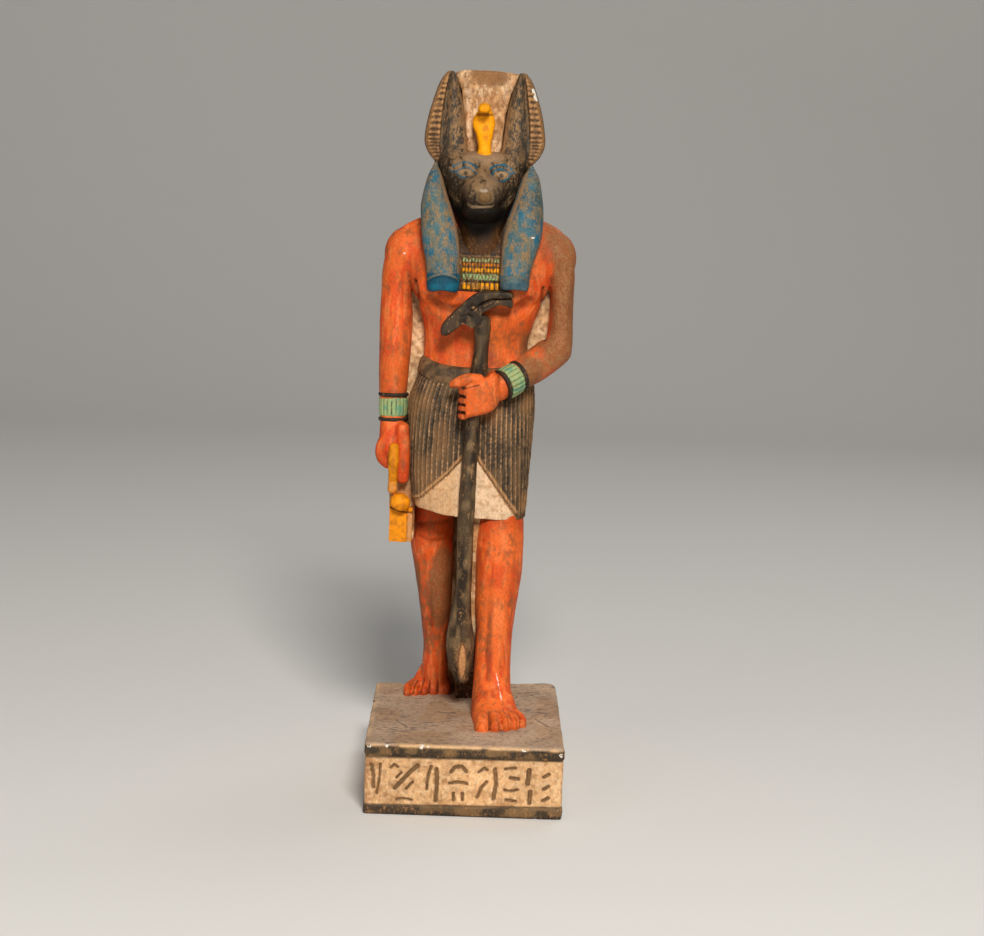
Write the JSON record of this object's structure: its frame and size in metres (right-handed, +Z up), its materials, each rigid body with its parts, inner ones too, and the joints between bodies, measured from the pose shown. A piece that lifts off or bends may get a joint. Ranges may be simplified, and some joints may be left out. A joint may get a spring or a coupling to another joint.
{
  "type": "anubis statuette",
  "caption": "striding jackal-headed god in pleated kilt with tall ears, long wig, forked animal-headed staff and looped sign, carved in one with back pillar and inscribed plinth",
  "frame": {"origin": "centre of the plinth's underside", "axes": "+Z up; the figure faces -Y, so the viewer's right is +X; the back pillar is at +Y"},
  "size_m": [0.1245, 0.16, 0.4494],
  "materials": {
    "painted_limestone": null
  },
  "bodies": {
    "root": {"statuette": "painted_limestone"}
  },
  "joints": []
}
